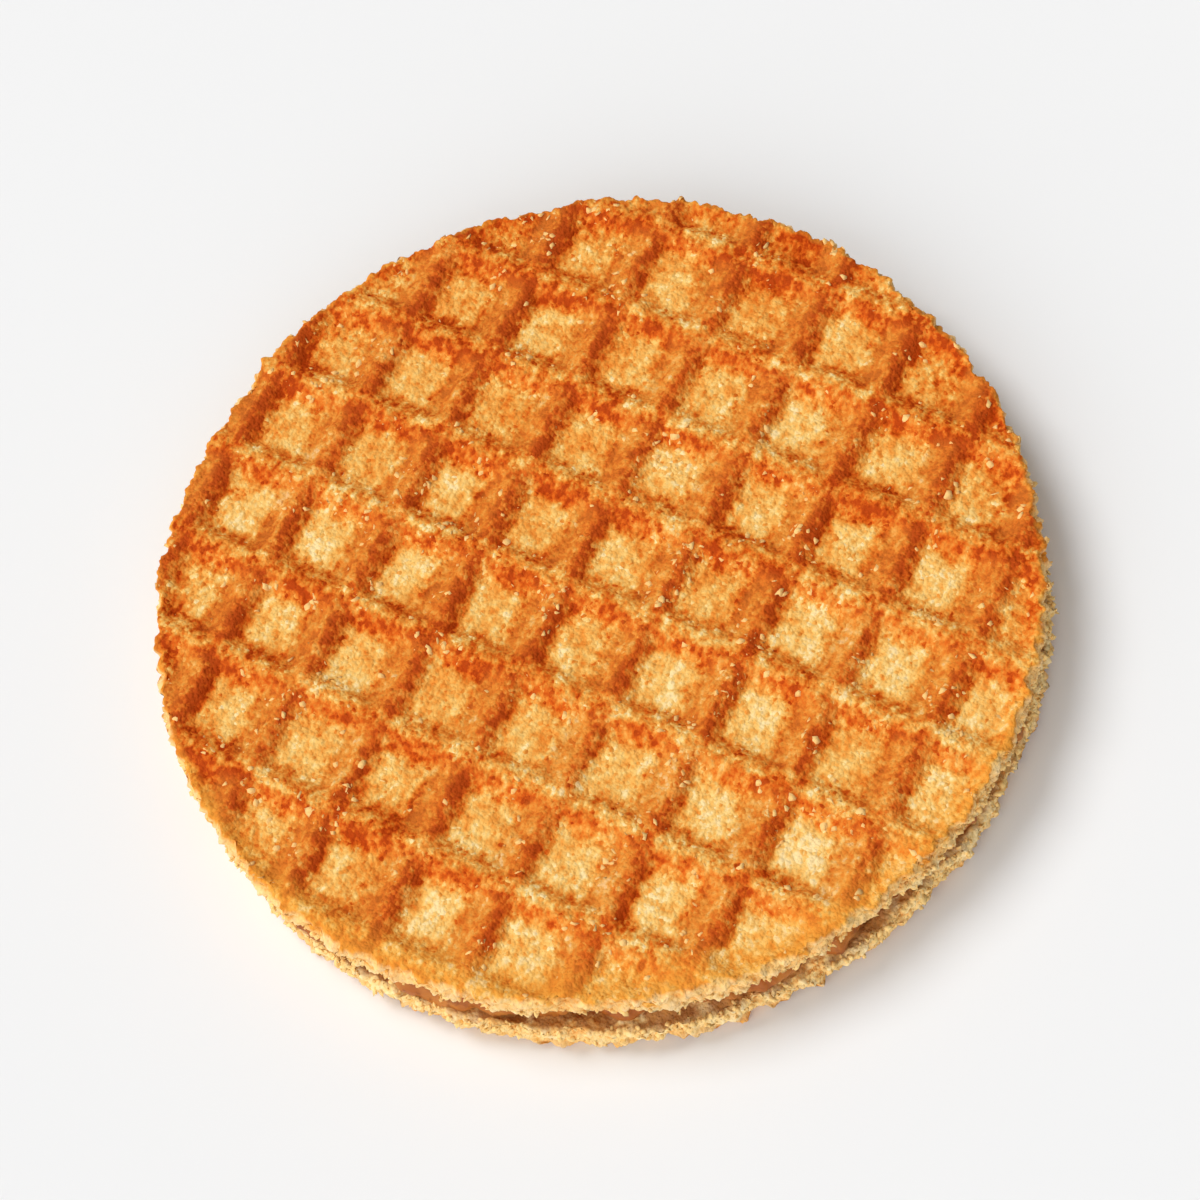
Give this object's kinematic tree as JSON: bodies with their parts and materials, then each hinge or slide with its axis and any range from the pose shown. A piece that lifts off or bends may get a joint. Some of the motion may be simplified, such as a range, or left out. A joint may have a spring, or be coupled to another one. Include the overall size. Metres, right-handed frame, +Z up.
{
  "type": "stroopwafel",
  "caption": "Round syrup waffle biscuit: two thin crisp wafer halves with a square-grid relief on both outer faces and a caramel syrup layer that shows along the cut rim.",
  "frame": {"origin": "middle of the underside, on the surface that the biscuit lies on", "axes": "+Z up through the biscuit's thickness, +X and +Y along the lines of the waffle grid"},
  "size_m": [0.0846, 0.0844, 0.008],
  "materials": {
    "baked_wafer_top": "matte golden-brown baked waffle crust, paler on the pit floors and at the cut rim",
    "baked_wafer_bottom": "matte golden-brown baked waffle crust, pale cream at the cut rim",
    "caramel_syrup": "sticky, slightly glossy caramel syrup, mid brown"
  },
  "bodies": {
    "root": {"wafer_bottom": "baked_wafer_bottom", "syrup_filling": "caramel_syrup", "wafer_top": "baked_wafer_top"}
  },
  "joints": []
}
